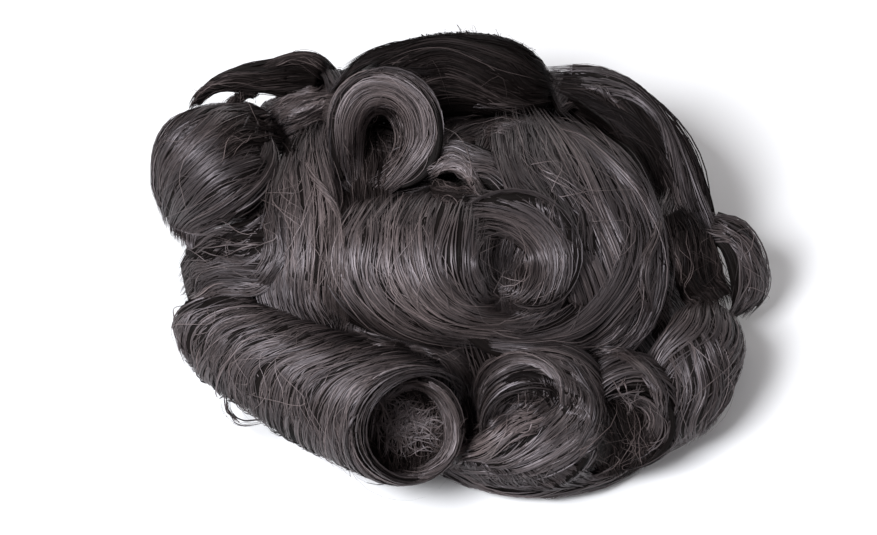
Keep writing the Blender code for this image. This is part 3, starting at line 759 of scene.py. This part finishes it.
def tones(rng, sheet, base, stray):
    """How light each strand is, from 0 to 1: neighbours share a tone, and strays are pale."""
    w = base[:, 0] * sheet.width
    phase = rng.uniform(0, 2 * math.pi, len(TONE_WIDTHS))
    shared = sum(np.sin(w / size + start) for size, start in zip(TONE_WIDTHS, phase))
    tone = MEAN_TONE + SHARED_TONE * shared + rng.normal(0, OWN_TONE, len(w))
    return np.where(stray, rng.uniform(*STRAY_TONES, len(w)), tone).clip(0, LIGHTEST)


def strand_paths(rng, sheet, lift, style):
    """Points along each strand of a sheet, its normals there, and how light and how wide each strand is."""
    count = max(FEWEST_STRANDS, int(sheet.width / STRAND_PITCH * LAYERS * style["density"]))
    inner = rng.random(count) < style["inner_share"]
    stray = rng.random(count) < style["strays"]
    s = np.linspace(0, 1, style["steps"])[None, :]
    begin = rng.uniform(-ROOT_SPREAD, style["roots"], count) - style["root"]
    end = 1 - rng.exponential(style["ragged"], count).clip(0, LONGEST_TRIM) + style["reach"]
    short = rng.random(count) < SHORT_SHARE
    begin = np.where(short, rng.uniform(0, LATEST_ROOT, count), begin)
    u = begin[:, None] + (end - begin)[:, None] * s
    moves = flow(style, np.array((0, 0.5, 1)))
    across = rng.uniform(-max(0, moves.max()), 1 - min(0, moves.min()), count)
    wander = style["wander"] * WANDER / sheet.width * np.where(stray, STRAY_WANDER, 1)[:, None]
    a, b = rng.normal(0, 1, (2, count, 1)) * wander
    k = rng.uniform(*WANDER_TURNS, (count, 1))
    p = rng.uniform(0, 2 * math.pi, (count, 1))
    base = across[:, None] + a * np.sin(2 * math.pi * k * s + p) + b * DRIFT * s
    v = base + flow(style, u) + sway(style["seed"], sheet.width, u, base)
    level = np.where(inner, -rng.uniform(*INNER_LEVEL, count), rng.uniform(*style["level"], count))[:, None]
    points, normal, half = sheet.read(u, v)
    out = np.where(inner, -1, 1)[:, None]
    height = level * half[..., 0] + out * lift(u, base)
    proud = rng.exponential(PROUD, (count, 1)) + stray[:, None] * rng.exponential(STRAY_PROUD, (count, 1))
    height += out * proud * np.sin(math.pi * s) ** 0.5
    points = points + normal * height[..., None]
    points[..., 2] = np.maximum(points[..., 2], FLOOR_GAP)
    kept = ((v > -SHEET_MARGIN) & (v < 1 + SHEET_MARGIN)).mean(1) > 0.5
    tone = tones(rng, sheet, base, stray) + style["tone"]
    width = STRAND_WIDTH * style["width"] * rng.uniform(*WIDTH_SPREAD, count)
    width = width * np.where(stray, STRAY_WIDTH, 1)
    return points[kept], normal[kept], tone[kept].clip(0, LIGHTEST), width[kept]


def ribbons(rng, points, normal, tone, width):
    """Thin ribbons along the points, turned a little, narrow at both ends, each with a shade of its own."""
    count, steps = points.shape[:2]
    ahead = unit(np.gradient(points, axis=1))
    side = unit(np.cross(normal, ahead))
    up = np.cross(ahead, side)
    tilt = rng.normal(0, STRAND_TILT, (count, 1, 1))
    side = side * np.cos(tilt) + up * np.sin(tilt)
    s = np.linspace(0, 1, steps)
    taper = np.minimum(1, ROOT_TAPER[0] + ROOT_TAPER[1] * s)
    taper = taper * np.clip(TIP_TAPER[1] * (1 - s), TIP_TAPER[0], 1)
    half = (width[:, None] * taper)[..., None] / 2
    verts = np.stack((points - side * half, points + side * half), 2).reshape(-1, 3)
    first = (np.arange(count) * steps * 2)[:, None] + (np.arange(steps - 1) * 2)[None, :]
    faces = np.stack((first, first + 2, first + 3, first + 1), -1).reshape(-1, 4)
    shade = np.floor(tone * SHADES)[:, None, None] + np.array(SHADE_EDGES)[None, None, :]
    x = np.broadcast_to(shade / SHADES, (count, steps, 2))
    y = np.broadcast_to(s[None, :, None], (count, steps, 2))
    uv = np.stack((0.5 + 0.5 * x, y), -1).reshape(-1, 2)
    return verts, faces, uv


def core(sheet, lift, style):
    """A closed wall inside the strands, which fills the space between them."""
    us = np.linspace(*style["span"], CORE_STEPS[0] + 1)
    vs = np.linspace(0, 1, CORE_STEPS[1] + 1)
    u, v = np.meshgrid(us, vs, indexing="ij")
    middle, normal, half = sheet.read(u, v)
    rise = CORE_SHARE * half + CORE_LIFT * lift(u, v - flow(style, u))[..., None]
    rise = rise * np.minimum(1, CORE_TIP * (1 - u))[..., None]
    rise = np.maximum(rise, CORE_LEAST * half)
    skins = np.stack((middle + normal * rise, middle - normal * rise))
    verts = skins.reshape(-1, 3)
    index = np.arange(len(verts)).reshape(skins.shape[:3])
    top, low = index
    faces = [
        np.stack((top[:-1, :-1], top[1:, :-1], top[1:, 1:], top[:-1, 1:]), -1).reshape(-1, 4),
        np.stack((low[:-1, :-1], low[:-1, 1:], low[1:, 1:], low[1:, :-1]), -1).reshape(-1, 4),
    ]
    for line in (index[:, :, 0], index[:, :, -1], index[:, 0, :], index[:, -1, :]):
        a, b = line
        faces.append(np.stack((a[:-1], a[1:], b[1:], b[:-1]), -1))
    x = CORE_MAP * v * min(1, sheet.width / CORE_MAP_WIDTH)
    uv = np.stack((np.stack((x, u), -1), np.stack((CORE_MAP_STEP + x, u), -1))).reshape(-1, 2)
    return verts, np.concatenate(faces), uv


def put(name, data):
    """An object with that data, in the scene."""
    obj = bpy.data.objects.new(name, data)
    bpy.context.scene.collection.objects.link(obj)
    return obj


def add_mesh(name, parts, materials):
    """One object from several parts, each with its corners, faces, map places and material's number."""
    verts, faces, uvs, slots, start = [], [], [], [], 0
    for (part_verts, part_faces, part_uv), slot in parts:
        verts.append(part_verts)
        faces.append(part_faces + start)
        uvs.append(part_uv)
        slots.append(np.full(len(part_faces), slot))
        start += len(part_verts)
    faces, uvs = np.concatenate(faces), np.concatenate(uvs)
    mesh = bpy.data.meshes.new(name)
    mesh.from_pydata(np.concatenate(verts).tolist(), [], faces.tolist())
    layer = mesh.uv_layers.new(name="OFBake")
    layer.uv.foreach_set("vector", uvs[faces.ravel()].astype(np.float32).ravel())
    for material in materials:
        mesh.materials.append(material)
    mesh.polygons.foreach_set("material_index", np.concatenate(slots).astype(np.int32))
    mesh.shade_smooth()
    return put(name, mesh)


class Nodes:
    """A material's node tree, with short calls for the nodes used here."""

    def __init__(self, name):
        self.material = bpy.data.materials.new(name)
        self.material.use_nodes = True
        self.tree = self.material.node_tree
        self.shader = self.tree.nodes["Principled BSDF"]

    def add(self, kind, inputs=(), **settings):
        node = self.tree.nodes.new(kind)
        for key, value in settings.items():
            setattr(node, key, value)
        for key, value in dict(inputs).items():
            if isinstance(value, bpy.types.NodeSocket):
                self.tree.links.new(value, node.inputs[key])
            else:
                node.inputs[key].default_value = value
        return node

    def math(self, operation, *values):
        return self.add("ShaderNodeMath", dict(enumerate(values)), operation=operation).outputs[0]

    def mix(self, share, low, high):
        """The colour at that share of the way from low to high."""
        low, high = (c if isinstance(c, bpy.types.NodeSocket) else (*c, 1) for c in (low, high))
        return self.add("ShaderNodeMix", {0: share, 6: low, 7: high}, data_type="RGBA").outputs[2]

    def map_places(self):
        return self.add("ShaderNodeUVMap", uv_map="OFBake").outputs[0]

    def bump(self, height, distance, strength):
        settings = {"Height": height, "Distance": distance, "Strength": strength}
        self.drive("Normal", self.add("ShaderNodeBump", settings).outputs[0])

    def drive(self, socket, value):
        self.tree.links.new(value, self.shader.inputs[socket])


DEEP_BROWN = (0.0085, 0.0058, 0.0050)
# MID_BROWN and SHADOW_BROWN hold painted shade: the core's dark browns between the strands. SHADOW_BROWN also
# darkens the strands' roots and is the darkest brown of the material that paints shade
MID_BROWN = (0.010, 0.0070, 0.0062)
SHADOW_BROWN = (0.004, 0.0028, 0.0025)
PALE_BROWN = (0.155, 0.120, 0.114)
NET_BROWNS = ((0.008, 0.007, 0.006), (0.06, 0.05, 0.044))
FLOOR_WHITES = ((0.86, 0.85, 0.84), (0.9, 0.89, 0.88))
FLOOR_REACH = 3.0
ROOM_LIGHT = (0.97, 0.96, 1.0, 1)
ROOM_STRENGTH = 0.4
LIGHT_TARGET = (0, 0, 0.03)

# A strand's material: the steepness of its shades, its streaks, the painted shade that darkens its root, and
# its roughness
SHADE_POWER = 2.2
STREAKS_ALONG = 5
STREAK_GAIN, STREAK_START = 4, 1
ROOT_SHADE_GAIN, ROOT_SHADE_SHARE = 5, 0.35
STRAND_ROUGHNESS, ROUGHNESS_SPREAD = 0.42, 0.16
STRAND_TINT = (1, 0.9, 0.95, 1)
NOISE_SEED = 200.5

# The core's streaks and roughness, and the net's threads and roughness
CORE_STREAKS = (1400, 6, 1)
CORE_STREAK_START, CORE_STREAK_GAIN = 0.35, 2.2
CORE_ROUGHNESS, CORE_ROUGHNESS_SPREAD = 0.4, 0.2
NET_TURNS = (45, -45)
NET_THREADS = 260
NET_ROUGHNESS, NET_ROUGHNESS_SPREAD = 0.6, 0.25


def strand_material(name, gloss, deep):
    """Brown strands, each with its own shade, a root darkened with painted shade, and a rounded back. deep is
    the darkest shade.
    """
    n = Nodes(name)
    where = n.add("ShaderNodeSeparateXYZ", {0: n.map_places()})
    x = n.math("MULTIPLY", n.math("SUBTRACT", where.outputs[0], 0.5), 2 * SHADES)
    number = n.math("FLOOR", x)
    across = n.math("FRACT", x)
    other = n.add("ShaderNodeTexWhiteNoise", {"W": n.math("ADD", number, NOISE_SEED)}, noise_dimensions="1D")
    run = {0: n.math("MULTIPLY", x, HAIRS), 1: n.math("MULTIPLY", where.outputs[1], STREAKS_ALONG)}
    run = n.add("ShaderNodeCombineXYZ", run).outputs[0]
    streak = {"Vector": run, "Scale": 1, "Detail": 1}
    streak = n.add("ShaderNodeTexNoise", streak, noise_dimensions="2D").outputs[0]
    tone = n.math("POWER", n.math("DIVIDE", number, SHADES), SHADE_POWER)
    contrast = n.math("SUBTRACT", n.math("MULTIPLY", streak, STREAK_GAIN), STREAK_START)
    contrast = n.math("MAXIMUM", contrast, 0)
    colour = n.mix(n.math("MINIMUM", n.math("MULTIPLY", tone, contrast), 1), deep, PALE_BROWN)
    # Painted shade: each strand's root end is mixed towards SHADOW_BROWN
    root = n.math("ADD", n.math("MULTIPLY", where.outputs[1], ROOT_SHADE_GAIN), ROOT_SHADE_SHARE)
    n.drive("Base Color", n.mix(n.math("MINIMUM", root, 1), SHADOW_BROWN, colour))
    round_back = n.math("ADD", n.math("SINE", n.math("MULTIPLY", across, math.pi)), streak)
    n.bump(round_back, 0.0002, 0.3)
    rough = n.math("MULTIPLY", other.outputs[0], ROUGHNESS_SPREAD)
    n.drive("Roughness", n.math("ADD", rough, STRAND_ROUGHNESS))
    n.shader.inputs["Specular IOR Level"].default_value = gloss
    n.shader.inputs["Specular Tint"].default_value = STRAND_TINT
    n.shader.inputs["Anisotropic"].default_value = 0.5
    n.drive("Tangent", n.add("ShaderNodeTangent", direction_type="UV_MAP", uv_map="OFBake").outputs[0])
    return n.material


def core_material():
    """The mass of hair inside a curl, which shows between its strands as fine dark streaks: the hair's own
    streaks, kept dark as painted shade between the strands.
    """
    n = Nodes("hair_core")
    stretch = n.add("ShaderNodeMapping", {"Vector": n.map_places(), "Scale": CORE_STREAKS})
    streak = {"Vector": stretch.outputs[0], "Scale": 1, "Detail": 3}
    streak = n.add("ShaderNodeTexNoise", streak, noise_dimensions="2D").outputs[0]
    sharp = n.math("MULTIPLY", n.math("SUBTRACT", streak, CORE_STREAK_START), CORE_STREAK_GAIN)
    # Painted shade: the core's streaks run from SHADOW_BROWN to MID_BROWN, kept dark as the shade between
    # strands
    n.drive("Base Color", n.mix(n.math("MINIMUM", n.math("MAXIMUM", sharp, 0), 1), SHADOW_BROWN, MID_BROWN))
    n.bump(streak, 0.0004, 0.8)
    n.drive("Roughness", n.math("ADD", n.math("MULTIPLY", streak, CORE_ROUGHNESS_SPREAD), CORE_ROUGHNESS))
    n.shader.inputs["Specular IOR Level"].default_value = 0.08
    return n.material


def net_material():
    """The base's fine dark net, woven of two sets of threads with small holes between them."""
    n = Nodes("base_net_weave")
    place_on = n.add("ShaderNodeTexCoord").outputs["Object"]
    threads = []
    for turn in NET_TURNS:
        mapping = n.add("ShaderNodeMapping", {"Vector": place_on, "Rotation": (0, 0, math.radians(turn))})
        wave = {"Vector": mapping.outputs[0], "Scale": NET_THREADS, "Distortion": 0.4}
        threads.append(n.add("ShaderNodeTexWave", wave).outputs[1])
    weave = n.math("MAXIMUM", *threads)
    n.drive("Base Color", n.mix(weave, *NET_BROWNS))
    n.bump(weave, 0.0003, 1)
    n.drive("Roughness", n.math("ADD", n.math("MULTIPLY", weave, NET_ROUGHNESS_SPREAD), NET_ROUGHNESS))
    return n.material


# Each piece's own style. steps: the points on a strand. lengthwise: the hair runs along its roll. mouth: the
# depth, the inner radius and the rise of the hair coiled in a roll's open end, as shares.
STYLES = {
    "front_left_roll": dict(steps=30, inner_share=0.3, comes_from=(0.2, 0.5), ends=(0.38, 0)),
    "front_centre_curl": dict(steps=30, inner_share=0.4, density=1.3, mouth=(0.35, 0.35, 0.2)),
    "front_right_curl": dict(steps=28, inner_share=0.4, density=1.3, mouth=(0.5, 0.2, 0)),
    "centre_roll": dict(steps=20, inner_share=0.1, goes_to=(0.45, 0.35), ends=(0.2, 0.3)),
    "left_side_roll": dict(steps=22, inner_share=0.2, lengthwise=True, ends=(0.8, 0.6), density=1.5,
                           strays=0.005),
    # back_roll's lowered tone and duller material paint shade on the back of the piece
    "back_roll": dict(steps=26, inner_share=0.2, lengthwise=True, ends=(0.3, 0.3), density=1.3, tone=-0.2,
                      shaded=True),
    "right_front_roll": dict(steps=20, inner_share=0.2, lengthwise=True, ends=(0.2, 0.3)),
    "back_left_roll": dict(steps=18, inner_share=0.1, ends=(0.2, 0.3)),
    "back_right_roll": dict(steps=18, inner_share=0.1, ends=(0.3, 0.2)),
    "centre_swirl": dict(steps=36, inner_share=0.1, density=2, span=(0.06, 0.96)),
    "crown_ring_curl": dict(steps=34, inner_share=0.3, density=2, ragged=0.1, span=(0.04, 0.96)),
}
MOUTH_STYLE = dict(HAIR, steps=30, inner_share=0, density=1.5, reach=0)
LOCK_STYLE = dict(HAIR, steps=16, inner_share=0.2, density=1.2, ragged=0.1, span=(0.03, 0.96),
                  strays=0.01)
# These locks are darkened with painted shade: a lowered tone in the duller material that paints shade
PAINTED_SHADE_LOCKS = ("right_ribbon_lock", "left_back_lock", "right_under_lock")
PAINTED_SHADE_LOCK_STYLE = dict(LOCK_STYLE, tone=-0.2, shaded=True, strays=0)
BED_SHEET = dict(twist=0.35, top=math.radians(84), half=0.001)
BED_STYLE = dict(HAIR, steps=14, inner_share=0, density=0.35, ragged=0.02, reach=0, root=0)


def roll_sheets(name, rows):
    """A roll's own sheet, and the one coiled in its mouth if its style has one."""
    style = {**HAIR, **STYLES[name]}
    columns = named_columns(rows, ROLL_COLUMNS)
    columns["ends"] = style["ends"]
    if "lengthwise" in style:
        return [(lengthwise_points, columns, -1, style)]
    sheets = [(roll_points, columns, 1, style)]
    if "mouth" in style:
        columns["mouth"] = style["mouth"]
        sheets.append((mouth_points, columns, 1, MOUTH_STYLE))
    return sheets


def hair_pieces():
    """Each hair node's name with its sheets: a surface, its table, which way is out, and its style."""
    found = {}
    for name, (centre, aim, rows) in WHORLS.items():
        whorl = (np.array(centre) * ENVELOPE, unit(np.array(aim)), named_columns(rows, WHORL_COLUMNS))
        found[name] = [(whorl_points, whorl, -1, {**HAIR, **STYLES[name]})]
    for name, rows in ROLLS.items():
        found[name] = roll_sheets(name, rows)
    for name, rows in LOCKS.items():
        style = PAINTED_SHADE_LOCK_STYLE if name in PAINTED_SHADE_LOCKS else LOCK_STYLE
        found[name] = [(lock_points, named_columns(rows, LOCK_COLUMNS), -1, style)]
    found["hair_bed"] = [(bed_points, BED_SHEET, 1, BED_STYLE)]
    return found


# The materials' numbers on a piece, and the numbers from which its sheets' seeds count on
CORE_SLOT, STRAND_SLOT, SHADED_SLOT = 0, 1, 2
PIECE_SEED = 100
COMB_SEED = 500


def sheet_parts(seed, sheet, style):
    """The core and the strands of one sheet."""
    rng = np.random.default_rng(seed)
    style = {**style, "seed": seed}

    def lift(u, v):
        return style["clumps"] * clumps(np.random.default_rng(seed), sheet.width, u, v)

    slot = SHADED_SLOT if style["shaded"] else STRAND_SLOT
    strands = (ribbons(rng, *strand_paths(rng, sheet, lift, style)), slot)
    if style["bare"]:
        return [strands]
    return [(core(sheet, lift, style), CORE_SLOT), strands]


def add_piece(name, parts, materials):
    """A piece of hair that rides on the base."""
    piece = add_mesh(name, parts, materials)
    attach(piece, "root")
    return piece


def add_hair(materials):
    """A core with strands on it in place of each hair solid. Returns all the parts."""
    seed = PIECE_SEED
    made = []
    for name, sheets in hair_pieces().items():
        parts = []
        for surface, table, outward, style in sheets:
            seed += 1
            parts += sheet_parts(seed, made_sheet(surface, table, outward), style)
        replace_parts(add_piece(name + "_hair", parts, materials), name)
        made += parts
    return made


def tree_of(parts):
    """A tree to find where rays meet the cores among the parts."""
    corners, faces, start = [], [], 0
    for (part_corners, part_faces, part_map), slot in parts:
        if slot == CORE_SLOT:
            corners.append(part_corners)
            faces.append(part_faces + start)
            start += len(part_corners)
    return BVHTree.FromPolygons(np.concatenate(corners).tolist(), np.concatenate(faces).tolist())


def add_combed_hair(materials, hair_below):
    """The top hair, combed over the curls. Each lock lies on those before it."""
    seed = COMB_SEED
    for name, locks in COMBED.items():
        parts = []
        for kind, *guides in locks:
            seed += 1
            style = {**COMB, **COMB_KINDS[kind]}
            sheet = combed_sheet(guides, COMBED_FROM.get(name), style, hair_below)
            made = sheet_parts(seed, sheet, style)
            if not style["bare"]:
                hair_below.append(tree_of(made))
            parts += made
        add_piece(name, parts, materials)


def add_floor():
    mesh = bpy.data.meshes.new("floor")
    corners = [(x * FLOOR_REACH, y * FLOOR_REACH, 0) for x, y in ((-1, -1), (1, -1), (1, 1), (-1, 1))]
    mesh.from_pydata(corners, [], [(0, 1, 2, 3)])
    n = Nodes("pale_floor")
    grain = n.add("ShaderNodeTexNoise", {"Scale": 3, "Detail": 2})
    n.drive("Base Color", n.mix(grain.outputs[0], *FLOOR_WHITES))
    n.shader.inputs["Roughness"].default_value = 0.8
    mesh.materials.append(n.material)
    floor = put("floor", mesh)


def aim_at(obj, place_at, target):
    """Puts the object at place_at and points its -Z axis at the target."""
    obj.location = place_at
    direction = np.array(target) - np.array(place_at)
    obj.rotation_mode = "QUATERNION"
    obj.rotation_quaternion = Vector(direction).to_track_quat("-Z", "Y")


def add_light(name, place_at, size, power, colour):
    data = bpy.data.lights.new(name, "AREA")
    data.shape = "SQUARE"
    data.size = size
    data.energy = power
    data.color = colour
    aim_at(put(name, data), place_at, LIGHT_TARGET)


def add_lights():
    add_light("key", (-0.60, -0.50, 1.05), 0.5, 24, (0.92, 0.95, 1.0))
    add_light("rear", (0.25, 1.0, 0.55), 0.6, 2.5, (1.0, 0.98, 0.95))
    world = bpy.data.worlds.new("soft_room")
    world.use_nodes = True
    background = world.node_tree.nodes["Background"]
    background.inputs[0].default_value = ROOM_LIGHT
    background.inputs[1].default_value = ROOM_STRENGTH
    bpy.context.scene.world = world
    bpy.context.scene.view_settings.view_transform = "Standard"


def add_camera():
    data = bpy.data.cameras.new("camera")
    data.sensor_width = SENSOR_WIDTH
    data.lens = SENSOR_WIDTH * CAMERA_DISTANCE / (METRES_PER_PIXEL * PHOTO_WIDTH)
    data.shift_x = (PHOTO_WIDTH / 2 - ORIGIN_PIXEL[0]) / PHOTO_WIDTH
    data.shift_y = (ORIGIN_PIXEL[1] - PHOTO_HEIGHT / 2) / PHOTO_WIDTH
    camera = put("camera", data)
    aim_at(camera, CAMERA_PLACE, (0, 0, 0))
    bpy.context.scene.camera = camera


def dress_base():
    """The base keeps its solid, with a woven material of its own."""
    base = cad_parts["base_cap"]
    base.data.materials.clear()
    base.data.materials.append(net_material())


add_camera()
add_lights()
add_floor()
dress_base()
hair_materials = [
    core_material(),
    strand_material("hair_strands", 0.8, DEEP_BROWN),
    # A darker, duller copy of the strands' material, which paints shade where it is used
    strand_material("painted_shade_strands", 0.06, SHADOW_BROWN),
]
add_combed_hair(hair_materials, [tree_of(add_hair(hair_materials))])
